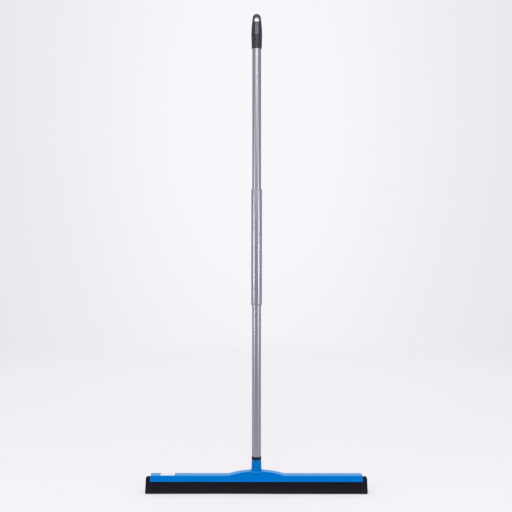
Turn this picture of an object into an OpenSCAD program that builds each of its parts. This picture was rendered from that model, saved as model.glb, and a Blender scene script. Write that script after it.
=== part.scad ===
// Floor squeegee: twin foam strips in a moulded frame, on a screw-in handle in two halves.
// Millimetres. +Z runs up the handle, X along the strips, -Y is the front, the floor is Z = 0.

/* [Foam strips] */
// Length of both foam strips
strip_length = 550; // [420:1:760]
// Thickness of one strip, measured level
strip_thick = 8; // [6:0.5:9]
// Height of strip held up inside the frame
strip_tuck = 8; // [7:0.5:10]
// How far each strip leans out between its top and the floor
strip_lean = 14; // [8:0.5:17]
// Height of the frame's lower edge above the floor
frame_clear = 28; // [22:0.5:34]

/* [Blade carrier] */
// Thickness of the web between the tops of the strips
carrier_web = 4; // [3:0.5:6]
// Thickness of each leg that a strip lies on, measured level
carrier_leg = 2; // [1.5:0.1:3]
// Height of the legs below the tops of the strips
carrier_drop = 20; // [16:1:22]
// Width of the flat head that runs in the frame
tee_width = 22; // [18:0.5:24]
// Thickness of the flat head
tee_thick = 2.2; // [1.8:0.1:3.2]

/* [Rivets] */
// Number of rivets along the strips
rivet_count = 7; // [3:1:9]
// Shank diameter
rivet_d = 3; // [2.5:0.1:4]
// Head diameter
rivet_head_d = 5; // [4.4:0.1:6.4]
// Head thickness
rivet_head_h = 1.4; // [1:0.1:1.8]

/* [Frame] */
// How far the strips stand out past each end of the frame
strip_overhang = 11; // [6:0.5:24]
// Depth of the flat top, front to back
top_depth = 28; // [26:0.5:36]
// Depth added at each side by the lean of the skirts
skirt_flare = 4; // [2:0.1:6]
// Lean of each end, top against lower edge
end_draft = 0.8; // [0:0.1:4]
// Wall of the frame
frame_wall = 2.2; // [1.8:0.1:3]
// Thickness of the two rails under the flat head
rail_thick = 1.6; // [1.2:0.1:2.4]

/* [Dome] */
// Length of the dome between its feet
dome_length = 142; // [110:1:180]
// Rise of the dome above the flat top
dome_rise = 10.3; // [8:0.1:14]
// Radius of the hollow at each foot
dome_foot_r = 12; // [6:1:20]
// Thickness of the ribs inside the dome
rib_thick = 2; // [1.5:0.1:3]

/* [Socket] */
// Height of the socket above the dome
socket_height = 26.8; // [24:0.1:36]
// Diameter at the socket's mouth
socket_top_d = 23.7; // [23.4:0.1:26]
// Diameter at the socket's foot
socket_base_d = 25.2; // [24:0.1:27]
// Radius of the flare where the socket meets the dome
socket_flare_r = 2.2; // [0.5:0.1:2.6]

/* [Thread] */
// Outer diameter of the screw thread
thread_d = 20; // [19:0.1:20.2]
// Rise of the thread in one turn
thread_pitch = 5; // [4.5:0.1:6]
// Height of the thread's ridge
thread_depth = 1.2; // [0.9:0.05:1.4]
// Turns of ridge on the handle
thread_turns = 5; // [3:0.5:5]
// Play between the two threads
thread_play = 0.25; // [0.2:0.05:0.35]

/* [Stop ring] */
// Height of the loose ring between socket and tube
ring_height = 8.2; // [4:0.1:12]
// Outer diameter of the ring
ring_d = 23.8; // [23:0.1:26]

/* [Tubes] */
// Outer diameter of both tubes
tube_d = 22; // [21.6:0.1:22.6]
// Wall of both tubes
tube_wall = 0.5; // [0.4:0.05:0.7]
// Length of lower tube seen below the sleeve
lower_seen = 376.5; // [300:0.5:520]
// Length of upper tube seen above the sleeve
upper_seen = 349.5; // [280:0.5:520]
// Length of the plug inside the lower tube
plug_length = 45; // [40:1:70]
// Height of the first punch mark above the tube's lower end
punch_low = 9.5; // [8:0.5:12]
// Distance between the two punch marks
punch_step = 15; // [10:0.5:20]
// Radius of the punch
punch_r = 2.2; // [1.8:0.1:2.6]
// Depth of a punch mark
punch_depth = 0.9; // [0.5:0.1:1.2]

/* [Sleeve] */
// Length of the coupling sleeve
sleeve_length = 290; // [180:1:360]
// Outer diameter of the sleeve
sleeve_d = 26.5; // [25.8:0.1:28]
// Wall of the sleeve
sleeve_wall = 0.8; // [0.6:0.1:1]
// Height of the stop between the two tubes
stop_height = 4; // [2:0.5:10]

/* [Grip] */
// Length of the grip
grip_length = 87.5; // [80:0.5:100]
// Diameter at the grip's lower edge
grip_mouth_d = 25; // [24.6:0.1:26.5]
// Diameter at the grip's widest line
grip_belly_d = 27; // [26.6:0.1:30]
// Height of the widest line above the lower edge
grip_belly_z = 32; // [29:0.5:36]
// Radius of the round top, seen from the front
grip_top_r = 10; // [9.6:0.1:11]
// Depth of the top, front to back
grip_top_depth = 16; // [13:0.5:20]
// Length of tube inside the grip
grip_tuck = 34; // [28:0.5:36]
// Width of the hanging eye
eye_w = 11; // [10:0.5:14]
// Height of the eye's lower lip above the lower edge
eye_lip = 68.5; // [62:0.5:69]
// Height of the eye
eye_h = 11; // [9:0.5:13]
// Thickness of the eye's lower lip
eye_lip_t = 3; // [2:0.5:5]

/* [Label] */
// Length of the blank label
label_length = 36; // [20:1:60]
// Width of the blank label
label_width = 25; // [15:0.5:26]
// Distance of the label's middle from the left end of the frame
label_inset = 43; // [32:1:90]

/* [Fits] */
// Gap round the carrier's head in the frame
slide_gap = 0.3; // [0.25:0.05:0.4]
// Radial gap of a tube in the liner
tube_gap = 0.05; // [0.03:0.01:0.1]
// Radial gap of parts pressed together
press_gap = 0.02; // [0.01:0.01:0.04]

/* [Hidden] */
$fn = 96;
big = 2000;
label_t = 0.2;
eps = 0.01;

// Heights from the floor up
strip_top_z = frame_clear + strip_tuck;
rail_z = strip_top_z + slide_gap;
slot_z = rail_z + rail_thick;
tee_z = slot_z + slide_gap;
slot_top_z = tee_z + tee_thick + slide_gap;
frame_top_z = slot_top_z + frame_wall;
dome_top_z = frame_top_z + dome_rise;
socket_top_z = dome_top_z + socket_height;
ring_top_z = socket_top_z + ring_height;
sleeve_low_z = ring_top_z + lower_seen;
sleeve_top_z = sleeve_low_z + sleeve_length;
stop_low_z = (sleeve_low_z + sleeve_top_z - stop_height) / 2;
stop_top_z = stop_low_z + stop_height;
grip_low_z = sleeve_top_z + upper_seen;
grip_top_z = grip_low_z + grip_length;
upper_end_z = grip_low_z + grip_tuck;

// Frame outline
frame_length = strip_length - 2 * strip_overhang;
skirt_slope = skirt_flare / (frame_top_z - frame_clear);
tee_half = tee_width / 2;
slot_half = tee_half + slide_gap;
rail_half = (tee_half + carrier_web / 2) / 2;
carrier_length = frame_length - 2 * end_draft - 2;
label_x = label_inset - frame_length / 2;

// Dome arcs
dome_half = dome_length / 2;
dome_r = (dome_half * dome_half + dome_rise * dome_rise) / (2 * dome_rise) - dome_foot_r;
dome_join_x = dome_half * dome_r / (dome_r + dome_foot_r);
dome_centre_z = dome_top_z - dome_r;
dome_join_z = dome_centre_z
  + sqrt(dome_r * dome_r - dome_join_x * dome_join_x);
rib_xs = [-46, -26, 26, 46] * dome_length / 142;

// Thread
thread_r = thread_d / 2;
core_r = thread_r - thread_depth;
socket_bore_r = thread_r + thread_play;
socket_ridge_r = core_r + thread_play;
thread_span = thread_turns * thread_pitch;
thread_z = socket_top_z - 3 - thread_span;
core_low_z = thread_z - 2;
bore_floor_z = core_low_z - 2;
boss_low_z = min(bore_floor_z - 2.5, dome_top_z - 6.5);
male_root_w = 0.6 * thread_pitch;
male_crest_w = 0.32 * thread_pitch;
female_root_w = 0.52 * thread_pitch;
female_crest_w = 0.28 * thread_pitch;
thread_steps = 24;
embed = 0.5;

// Tubes, ring and sleeve
tube_r = tube_d / 2;
tube_in_r = tube_r - tube_wall;
plug_r = tube_in_r - press_gap;
neck_r = thread_r + 0.1;
ring_in_r = neck_r + 0.15;
ring_r = ring_d / 2;
plug_top_z = ring_top_z + plug_length;
plug_core_r = 6;
sleeve_r = sleeve_d / 2;
sleeve_in_r = sleeve_r - sleeve_wall;
roll_r = sleeve_r - tube_r - 0.3;
liner_r = sleeve_in_r - press_gap;
liner_in_r = tube_r + tube_gap;
liner_low_z = sleeve_low_z + roll_r;
liner_top_z = sleeve_top_z - roll_r;
stop_in_r = tube_in_r - 1.5;
punch_heights = [ring_top_z + punch_low, ring_top_z + punch_low + punch_step];

// Grip
grip_mouth_r = grip_mouth_d / 2;
grip_belly_r = grip_belly_d / 2;
grip_bore_r = tube_r + press_gap;
belly_z = grip_low_z + grip_belly_z;
crown_z = grip_top_z - grip_top_r;
lip_z = grip_low_z + eye_lip;
eye_top_z = lip_z + eye_h;
eye_arc_z = eye_top_z - eye_w / 2;
// The side of the grip is an arc that leaves the widest line upright
side_fall = grip_belly_r - grip_top_r;
side_rise = crown_z - belly_z;
side_arc_r = (side_rise * side_rise + side_fall * side_fall) / (2 * side_fall);

// Rivets
rivet_z = frame_clear + strip_tuck / 2;
rivet_pitch = (carrier_length - 30) / (rivet_count - 1);
strip_slope = strip_lean / strip_top_z;
rivet_face_y = carrier_web / 2 + strip_thick + (strip_top_z - rivet_z) * strip_slope;
rivet_seat_y = rivet_face_y - rivet_head_d / 2 * strip_slope - rivet_head_h - 0.3;

// Half the frame's depth at a height
function half_depth(z) = top_depth / 2 + (frame_top_z - z) * skirt_slope;

// Level distance of a strip's inner face from the middle at a height
function strip_in(z) = carrier_web / 2 + (strip_top_z - z) * strip_slope;

// Extrudes a Y-Z outline along X, centred
module along_x(length) {
  rotate([90, 0, 90]) linear_extrude(height = length, center = true) children();
}

// Extrudes an X-Z outline along Y, centred
module along_y(length) {
  rotate([90, 0, 0]) linear_extrude(height = length, center = true) children();
}

// Cylinder that lies along Y between two distances from the middle
module rod_y(r, y0, y1) {
  translate([0, y1, 0]) rotate([90, 0, 0]) cylinder(r = r, h = y1 - y0);
}

// Helical ridge of four-sided section, right-handed, starting at angle and height 0
module helix_ridge(r_in, w_in, r_out, w_out, turns) {
  n = ceil(turns * thread_steps);
  ring = [[r_in, -w_in / 2], [r_out, -w_out / 2], [r_out, w_out / 2], [r_in, w_in / 2]];
  points = [
    for (i = [0 : n]) let (a = 360 * turns * i / n, z = thread_pitch * turns * i / n)
      for (p = ring) [p[0] * cos(a), p[0] * sin(a), z + p[1]]
  ];
  sides = [
    for (i = [0 : n - 1])
      for (j = [0 : 3])
        let (a = 4 * i + j, b = 4 * i + (j + 1) % 4)
          each [[a, b, b + 4], [a, b + 4, a + 4]]
  ];
  caps = [[3, 2, 1], [3, 1, 0], [4 * n, 4 * n + 1, 4 * n + 2], [4 * n, 4 * n + 2, 4 * n + 3]];
  polyhedron(points = points, faces = concat(sides, caps), convexity = 10);
}

// Front outline of the dome, grown down into the bar
module dome_outline(inset) {
  intersection() {
    translate([0, dome_centre_z]) circle(r = dome_r - inset, $fn = 360);
    translate([-dome_half, slot_top_z]) square([2 * dome_half, big]);
  }
}

// Hollow foot at each end of the dome, sunk a little so that its arc crosses the dome's
module dome_feet() {
  for (s = [0, 1]) mirror([s, 0]) difference() {
    translate([dome_join_x - 3, frame_top_z - 1])
      square([dome_half - dome_join_x + 3, dome_join_z - frame_top_z + 1.2]);
    translate([dome_half, frame_top_z + dome_foot_r - 0.05]) circle(r = dome_foot_r);
  }
}

// Front outline of bar and dome
module frame_outline() {
  half = frame_length / 2;
  polygon([
    [-half, frame_clear], [half, frame_clear],
    [half - end_draft, frame_top_z], [-half + end_draft, frame_top_z]
  ]);
  dome_outline(0);
  dome_feet();
}

// End outline of the frame, with the skirts carried up past the dome
module frame_section() {
  low = half_depth(frame_clear);
  high = half_depth(dome_top_z + 1);
  polygon([
    [-low, frame_clear], [low, frame_clear],
    [high, dome_top_z + 1], [-high, dome_top_z + 1]
  ]);
}

// Open channel under the bar: strip space, rails and the slot of the flat head
module channel_section() {
  low = half_depth(frame_clear) - frame_wall;
  high = half_depth(rail_z) - frame_wall;
  polygon([
    [-low, frame_clear - 1], [low, frame_clear - 1], [low, frame_clear],
    [high, rail_z], [rail_half, rail_z], [rail_half, slot_z],
    [slot_half, slot_z], [slot_half, slot_top_z],
    [-slot_half, slot_top_z], [-slot_half, slot_z], [-rail_half, slot_z],
    [-rail_half, rail_z], [-high, rail_z], [-low, frame_clear]
  ]);
}

// Hollow of the dome, open down into the slot, crossed by ribs and the socket's boss
module dome_hollow() {
  half = half_depth(dome_top_z) - frame_wall;
  difference() {
    intersection() {
      along_y(2 * half) dome_outline(frame_wall);
      translate([-dome_join_x + 12, -half, slot_top_z - eps])
        cube([2 * dome_join_x - 24, 2 * half, dome_rise + frame_wall]);
    }
    for (x = rib_xs)
      translate([x - rib_thick / 2, -big / 2, slot_top_z])
        cube([rib_thick, big, big]);
    translate([0, 0, boss_low_z]) cylinder(d = socket_base_d, h = big);
  }
}

// Socket above the dome: cone with a flared foot that swells out of the dome's sides
module socket_body() {
  base_r = socket_base_d / 2;
  top_r = socket_top_d / 2;
  foot_r = base_r + socket_flare_r;
  flare_z = dome_top_z + socket_flare_r;
  rotate_extrude() {
    polygon([
      [0, boss_low_z], [base_r, boss_low_z], [base_r, flare_z],
      [top_r, socket_top_z], [0, socket_top_z]
    ]);
    difference() {
      polygon([
        [base_r - 0.5, dome_top_z - 9.5], [foot_r - 1.2, dome_top_z - 9.5],
        [foot_r, dome_top_z - 1], [foot_r, flare_z], [base_r - 0.5, flare_z]
      ]);
      translate([foot_r, flare_z]) circle(r = socket_flare_r);
    }
  }
}

module head_frame() {
  color("#0a72c6") {
    difference() {
      union() {
        intersection() {
          along_y(big) frame_outline();
          along_x(big) frame_section();
        }
        socket_body();
      }
      along_x(frame_length + 2) channel_section();
      dome_hollow();
      translate([0, 0, bore_floor_z])
        cylinder(r = socket_bore_r, h = socket_top_z - bore_floor_z + 1);
    }
    rotate([0, 0, 180]) translate([0, 0, thread_z])
      helix_ridge(
        socket_ridge_r, female_crest_w,
        socket_bore_r + embed, female_root_w, thread_turns
      );
  }
}

module blank_label() {
  color("#f4f4f2")
    translate([label_x - label_length / 2, -label_width / 2, frame_top_z])
      cube([label_length, label_width, label_t]);
}

// Holes for all rivets, clear of the shanks
module rivet_holes() {
  for (i = [0 : rivet_count - 1])
    translate([(i - (rivet_count - 1) / 2) * rivet_pitch, 0, rivet_z])
      rod_y(rivet_d / 2 + 0.05, -big / 2, big / 2);
}

// Pockets for the rivet heads on the front, y < 0
module rivet_pockets() {
  for (i = [0 : rivet_count - 1])
    translate([(i - (rivet_count - 1) / 2) * rivet_pitch, 0, rivet_z])
      rod_y(rivet_head_d / 2 + 0.2, -big / 2, -rivet_seat_y);
}

module blade_carrier() {
  leg_z = strip_top_z - carrier_drop;
  web = carrier_web / 2;
  meet_z = strip_top_z - max(0, carrier_leg - web) / strip_slope - 2;
  color("#3a3d42") difference() {
    along_x(carrier_length) {
      polygon([
        [-tee_half, tee_z], [-web, tee_z], [-web, strip_top_z],
        [-strip_in(leg_z), leg_z], [-strip_in(leg_z) + carrier_leg, leg_z],
        [-strip_in(meet_z) + carrier_leg, meet_z], [strip_in(meet_z) - carrier_leg, meet_z],
        [strip_in(leg_z) - carrier_leg, leg_z], [strip_in(leg_z), leg_z],
        [web, strip_top_z], [web, tee_z], [tee_half, tee_z],
        [tee_half, tee_z + tee_thick], [-tee_half, tee_z + tee_thick]
      ]);
    }
    rivet_holes();
  }
}

// Front strip, leaning out to -Y
module front_strip() {
  difference() {
    along_x(strip_length) polygon([
      [-strip_in(0) - strip_thick, 0], [-strip_in(0), 0],
      [-strip_in(strip_top_z), strip_top_z], [-strip_in(strip_top_z) - strip_thick, strip_top_z]
    ]);
    rivet_holes();
    rivet_pockets();
  }
}

module front_blade() {
  color("#242328") front_strip();
}

module rear_blade() {
  color("#29282d") mirror([0, 1, 0]) front_strip();
}

module blade_rivets() {
  color("#b9bcc2")
    for (i = [0 : rivet_count - 1])
      translate([(i - (rivet_count - 1) / 2) * rivet_pitch, 0, rivet_z]) {
        rod_y(rivet_d / 2, -rivet_seat_y - eps, rivet_seat_y + eps);
        rod_y(rivet_head_d / 2, -rivet_seat_y - rivet_head_h, -rivet_seat_y);
        rod_y(rivet_head_d / 2, rivet_seat_y, rivet_seat_y + rivet_head_h);
      }
}

module stop_ring() {
  color("#1b1b1e") difference() {
    translate([0, 0, socket_top_z]) cylinder(r = ring_r, h = ring_height);
    translate([0, 0, socket_top_z - 1]) cylinder(r = ring_in_r, h = ring_height + 2);
  }
}

// Punch marks front and back, as spheres of one radius
module punches(r) {
  for (z = punch_heights)
    for (s = [-1, 1])
      translate([0, s * (tube_r - punch_depth + punch_r), z]) sphere(r = r);
}

module thread_plug() {
  color("#202024") difference() {
    union() {
      translate([0, 0, core_low_z]) cylinder(r = core_r, h = plug_top_z - core_low_z);
      translate([0, 0, thread_z])
        helix_ridge(core_r - embed, male_root_w, thread_r, male_crest_w, thread_turns);
      translate([0, 0, socket_top_z]) cylinder(r = neck_r, h = ring_height + eps);
      translate([0, 0, ring_top_z]) cylinder(r = plug_r, h = plug_length - 1.5);
      translate([0, 0, plug_top_z - 1.5]) cylinder(r1 = plug_r, r2 = plug_r - 1, h = 1.5);
    }
    translate([0, 0, core_low_z + 6]) cylinder(r = plug_core_r, h = big);
    punches(punch_r + tube_wall + 0.25);
  }
}

module lower_tube() {
  color("#c3c7ce") difference() {
    union() {
      difference() {
        translate([0, 0, ring_top_z]) cylinder(r = tube_r, h = stop_low_z - ring_top_z);
        translate([0, 0, ring_top_z - 1]) cylinder(r = tube_in_r, h = stop_low_z - ring_top_z + 2);
      }
      intersection() {
        translate([0, 0, ring_top_z]) cylinder(r = tube_r - tube_wall / 2, h = plug_length);
        punches(punch_r + tube_wall);
      }
    }
    punches(punch_r);
  }
}

// Half section of a tube whose ends are rolled in
module rolled_tube_section(r, roll) {
  translate([0, sleeve_low_z + roll_r]) square([r, sleeve_length - 2 * roll_r]);
  for (z = [sleeve_low_z + roll_r, sleeve_top_z - roll_r]) {
    translate([r - roll, z]) circle(r = roll);
    translate([0, z - roll]) square([r - roll, 2 * roll]);
  }
}

module coupling_sleeve() {
  color("#c9cdd4") rotate_extrude() difference() {
    rolled_tube_section(sleeve_r, roll_r);
    rolled_tube_section(sleeve_in_r, roll_r - sleeve_wall);
    translate([0, sleeve_low_z - 1]) square([tube_r + 0.3, sleeve_length + 2]);
    translate([-big, 0]) square([big, big]);
  }
}

module coupling_liner() {
  color("#d8d8d4") difference() {
    translate([0, 0, liner_low_z]) cylinder(r = liner_r, h = liner_top_z - liner_low_z);
    translate([0, 0, liner_low_z - 1]) cylinder(r = liner_in_r, h = stop_low_z - liner_low_z + 1);
    translate([0, 0, stop_top_z]) cylinder(r = liner_in_r, h = liner_top_z - stop_top_z + 1);
    translate([0, 0, stop_low_z - 1]) cylinder(r = stop_in_r, h = stop_height + 2);
  }
}

module upper_tube() {
  color("#c3c7ce") difference() {
    translate([0, 0, stop_top_z]) cylinder(r = tube_r, h = upper_end_z - stop_top_z);
    translate([0, 0, stop_top_z - 1]) cylinder(r = tube_in_r, h = upper_end_z - stop_top_z + 2);
  }
}

// Half of the grip's front outline
module grip_outline() {
  polygon([
    [0, grip_low_z], [grip_mouth_r, grip_low_z],
    [grip_belly_r, belly_z], [0, belly_z]
  ]);
  intersection() {
    translate([grip_belly_r - side_arc_r, belly_z]) circle(r = side_arc_r, $fn = 720);
    translate([0, belly_z - eps]) square([grip_belly_r, side_rise + eps]);
  }
  intersection() {
    translate([0, crown_z]) circle(r = grip_top_r);
    translate([0, crown_z - eps]) square([grip_top_r, grip_top_r + eps]);
  }
}

// Side outline of the grip: full below the widest line, thinner to the top
module grip_side() {
  half = grip_top_depth / 2;
  polygon([
    [-grip_belly_r - 1, grip_low_z - 1], [grip_belly_r + 1, grip_low_z - 1],
    [grip_belly_r + 1, belly_z], [half, grip_top_z + 1],
    [-half, grip_top_z + 1], [-grip_belly_r - 1, belly_z]
  ]);
}

// Arched eye with a ramp on the front and on the back that meet at its lower lip
module eye_space() {
  half = eye_w / 2;
  intersection() {
    along_y(big) {
      translate([-half, belly_z]) square([eye_w, eye_arc_z - belly_z]);
      translate([0, eye_arc_z]) circle(r = half);
    }
    along_x(big) {
      for (s = [-1, 1])
        polygon([
          [s * grip_belly_r, belly_z], [s * (grip_belly_r + 20), belly_z],
          [s * (grip_belly_r + 20), grip_top_z], [-s * eps, grip_top_z],
          [-s * eps, lip_z], [s * eye_lip_t / 2, lip_z]
        ]);
    }
  }
}

module hanger_grip() {
  color("#2a2a2e") difference() {
    intersection() {
      rotate_extrude() grip_outline();
      along_x(big) grip_side();
    }
    translate([0, 0, grip_low_z - 1]) cylinder(r = grip_bore_r, h = grip_tuck + 1.4);
    eye_space();
  }
}

head_frame();
blank_label();
blade_carrier();
front_blade();
rear_blade();
blade_rivets();
stop_ring();
thread_plug();
lower_tube();
coupling_sleeve();
coupling_liner();
upper_tube();
hanger_grip();
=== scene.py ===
"""Floor squeegee: the moulded head, foam strips and tubular handle, dressed and lit."""

import logging
import math
from collections.abc import Callable, Iterator, Sequence
from contextlib import contextmanager
from dataclasses import dataclass
from enum import Enum
from typing import Any

import bpy
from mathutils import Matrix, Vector


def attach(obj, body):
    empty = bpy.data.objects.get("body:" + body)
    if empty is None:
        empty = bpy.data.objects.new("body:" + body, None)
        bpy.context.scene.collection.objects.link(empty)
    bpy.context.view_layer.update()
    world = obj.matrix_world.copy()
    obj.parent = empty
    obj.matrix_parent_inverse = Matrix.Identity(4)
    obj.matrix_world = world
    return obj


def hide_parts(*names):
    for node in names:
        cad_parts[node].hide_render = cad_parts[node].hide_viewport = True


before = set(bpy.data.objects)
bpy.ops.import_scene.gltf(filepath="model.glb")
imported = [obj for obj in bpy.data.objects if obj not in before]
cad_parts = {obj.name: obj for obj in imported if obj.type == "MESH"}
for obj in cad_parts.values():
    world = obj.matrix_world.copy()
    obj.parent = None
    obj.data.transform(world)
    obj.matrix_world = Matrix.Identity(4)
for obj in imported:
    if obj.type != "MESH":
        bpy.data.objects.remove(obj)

LOG = logging.getLogger("floor_squeegee")
MM = 0.001
HAIR = 0.01  # small allowance, in millimetres
MOST_NOISE = (0.3, 0.7)  # span that holds most levels of a noise
THREAD_Z, PITCH, TURNS = 52.0, 5.0, 5  # start, rise in a turn and turns of both threads

Point = tuple[float, float]
Place = tuple[float, float, float]
Row = tuple[float, ...]
Colour = tuple[float, float, float, float]
Piece = bpy.types.Object
Finish = bpy.types.Material
Tree = bpy.types.NodeTree
Socket = bpy.types.NodeSocket
Outputs = bpy.types.NodeOutputs
Values = dict[str, Any]


class Body(Enum):
    """Bodies of the frame that pieces ride on."""

    HEAD = "head"
    BLADES = "blade_pack"
    RING = "ring"
    LOWER = "lower_handle"
    UPPER = "upper_handle"


class Join(Enum):
    """Ways to combine a piece with a second solid."""

    ADD = "UNION"
    CUT = "DIFFERENCE"
    KEEP_SHARED = "INTERSECT"


class Plane(Enum):
    """Planes that a flat outline is drawn on, with the number of their third axis."""

    YZ = 0
    XZ = 1
    XY = 2


# Modelling


def pick(piece: Piece) -> None:
    """Selects one piece alone and makes it the active one.

    Args:
        piece: The piece.
    """
    bpy.ops.object.select_all(action="DESELECT")
    piece.select_set(True)
    bpy.context.view_layer.objects.active = piece


def changed(piece: Piece, kind: str, **values: Any) -> None:
    """Adds a modifier to a piece and applies it.

    Args:
        piece: The piece that is changed.
        kind: Type of the modifier.
        values: Its settings.
    """
    pick(piece)
    step = piece.modifiers.new(kind.lower(), kind)
    for key, value in values.items():
        setattr(step, key, value)
    bpy.ops.object.modifier_apply(modifier=step.name)


@contextmanager
def editing(piece: Piece) -> Iterator[None]:
    """Opens edit mode on one piece, with all of it selected.

    Args:
        piece: The piece to edit.

    Yields:
        Nothing; edit mode ends with the block.
    """
    pick(piece)
    bpy.ops.object.mode_set(mode="EDIT")
    bpy.ops.mesh.select_mode(type="VERT")
    bpy.ops.mesh.select_all(action="SELECT")
    try:
        yield
    finally:
        bpy.ops.object.mode_set(mode="OBJECT")


def rounded(corners: Sequence[Place], steps: int) -> list[Point]:
    """Rounds the corners of a closed outline.

    Args:
        corners: Corners in order, each with its radius; a radius of 0 stays sharp.
        steps: Straight pieces on each rounded corner.

    Returns:
        The outline's points in the same order.
    """
    points: list[Point] = []
    count = len(corners)
    for i, (x, y, radius) in enumerate(corners):
        here = Vector((x, y))
        back = (Vector(corners[i - 1][:2]) - here).normalized()
        ahead = (Vector(corners[(i + 1) % count][:2]) - here).normalized()
        if radius <= 0:
            points.append((x, y))
            continue
        half = math.acos(max(-1.0, min(1.0, back.dot(ahead)))) / 2
        reach = radius / math.tan(half)
        centre = here + (back + ahead).normalized() * radius / math.sin(half)
        start, end = here + back * reach - centre, here + ahead * reach - centre
        turn = start.angle_signed(end)
        for k in range(steps + 1):
            angle = -turn * k / steps
            c, s = math.cos(angle), math.sin(angle)
            spoke = Vector((start.x * c - start.y * s, start.x * s + start.y * c))
            points.append(tuple(centre + spoke))
    return points


def arc(x: float, y: float, radius: float, degrees: range) -> list[Point]:
    """Returns points on an arc round a centre."""
    turns = [math.radians(a) for a in degrees]
    return [(x + radius * math.cos(a), y + radius * math.sin(a)) for a in turns]


def end_places(half: float, radius: float, degrees: int) -> list[float]:
    """Returns where a rounded end is cut, from its tip to where the straight run starts."""
    return [half - radius * (1 - math.cos(math.radians(a))) for a in range(0, 91, degrees)]


def drawn_in(deep: float, radius: float) -> float:
    """Returns how far a rounded end is drawn in at a depth behind its tip."""
    return radius - math.sqrt(max(0.0, radius ** 2 - (radius - deep) ** 2))


def outline(name: str, points: Sequence[Point], plane: Plane, at: float = 0.0,
            filled: bool = True) -> Piece:
    """Adds a ring of points and moves them to a flat outline.

    Args:
        name: Name of the new piece.
        points: Outline in millimetres.
        plane: Plane the outline lies on.
        at: Place of that plane along its third axis, in millimetres.
        filled: Whether the outline gets a face.

    Returns:
        The new mesh object, at the origin.
    """
    fill = "NGON" if filled else "NOTHING"
    bpy.ops.object.select_all(action="DESELECT")
    bpy.ops.mesh.primitive_circle_add(vertices=len(points), radius=0.1, fill_type=fill)
    piece = bpy.context.object
    piece.name = piece.data.name = name
    for vertex, (a, b) in zip(piece.data.vertices, points):
        place = [a, b]
        place.insert(plane.value, at)
        vertex.co = Vector(place) * MM
    return piece


def close_up(piece: Piece) -> None:
    """Merges doubled points, drops loose ones and turns all faces outwards.

    Args:
        piece: The piece to clean.
    """
    with editing(piece):
        bpy.ops.mesh.remove_doubles(threshold=2e-6)
        bpy.ops.mesh.dissolve_degenerate(threshold=1e-6)
        bpy.ops.mesh.delete_loose()
        bpy.ops.mesh.select_all(action="SELECT")
        bpy.ops.mesh.normals_make_consistent(inside=False)


def turned(name: str, profile: Sequence[Point], steps: int = 96) -> Piece:
    """Spins a closed half section round the upright axis.

    Args:
        name: Name of the new piece.
        profile: Radius and height of the section's points, in millimetres.
        steps: Faces round the axis.

    Returns:
        The closed round piece.
    """
    piece = outline(name, profile, Plane.XZ, filled=False)
    with editing(piece):
        bpy.ops.mesh.spin(steps=steps, angle=math.tau, center=(0, 0, 0), axis=(0, 0, 1))
    close_up(piece)
    return piece


def drawn_out(name: str, points: Sequence[Point], plane: Plane,
              places: Sequence[float]) -> Piece:
    """Extrudes a filled outline step by step across its plane.

    Args:
        name: Name of the new piece.
        points: Outline in millimetres.
        plane: Plane the outline lies on.
        places: Places along the third axis, in millimetres, from where the outline stands.

    Returns:
        The closed piece.
    """
    piece = outline(name, points, plane, places[0])
    with editing(piece):
        for here, there in zip(places, places[1:]):
            step = [0.0, 0.0, 0.0]
            step[plane.value] = (there - here) * MM
            bpy.ops.mesh.extrude_region_move(TRANSFORM_OT_translate={"value": step})
    close_up(piece)
    return piece


def nudge(piece: Piece, move: Callable[[Vector], Vector]) -> None:
    """Moves each point of a piece.

    Args:
        piece: The piece.
        move: Gives a point's new place from its old one, in millimetres.
    """
    for vertex in piece.data.vertices:
        vertex.co = move(vertex.co / MM) * MM
    piece.data.update()


def combine(piece: Piece, other: Piece, how: Join) -> None:
    """Adds a second solid to a piece, cuts it or keeps what both share, and removes it."""
    changed(piece, "BOOLEAN", operation=how.value, solver="EXACT", object=other)
    bpy.data.objects.remove(other, do_unlink=True)


def together(pieces: Sequence[Piece]) -> Piece:
    """Joins several pieces into the first one.

    Args:
        pieces: The pieces.

    Returns:
        The joined piece.
    """
    bpy.ops.object.select_all(action="DESELECT")
    for piece in pieces:
        piece.select_set(True)
    bpy.context.view_layer.objects.active = pieces[0]
    bpy.ops.object.join()
    return pieces[0]


def thread_ridge(first: Point, second: Point, steps: int = 48) -> Piece:
    """Winds a four-sided section into a right-hand screw ridge.

    Args:
        first: Radius of one side of the section and half its width there, in pitches.
        second: The same for the other side.
        steps: Faces in one turn.

    Returns:
        The closed ridge.
    """
    (r1, w1), (r2, w2) = ((r, w * PITCH) for r, w in (first, second))
    piece = outline("ridge", [(r1, THREAD_Z - w1), (r2, THREAD_Z - w2), (r2, THREAD_Z + w2),
                              (r1, THREAD_Z + w1)], Plane.XZ, filled=False)
    changed(piece, "SCREW", axis="Z", angle=math.tau, iterations=TURNS,
            screw_offset=PITCH * MM, steps=steps, render_steps=steps)
    with editing(piece):
        bpy.ops.mesh.fill_holes(sides=0)
    close_up(piece)
    return piece


def set_up(piece: Piece, degrees: float, body: Body, node: str,
           finish: Finish) -> None:
    """Shades a new piece and gives it its finish and its place on the frame.

    Args:
        piece: The finished mesh.
        degrees: Edges that bend more than this stay sharp.
        body: Body that it moves with.
        node: Solid that it stands for.
        finish: Its material.
    """
    pick(piece)
    bpy.ops.object.shade_smooth_by_angle(angle=math.radians(degrees))
    piece.data.materials.clear()
    piece.data.materials.append(finish)
    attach(piece, body.value)
    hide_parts(node)
    LOG.info("%s: %d faces, %s", piece.name, len(piece.data.polygons), finish.name)


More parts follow.
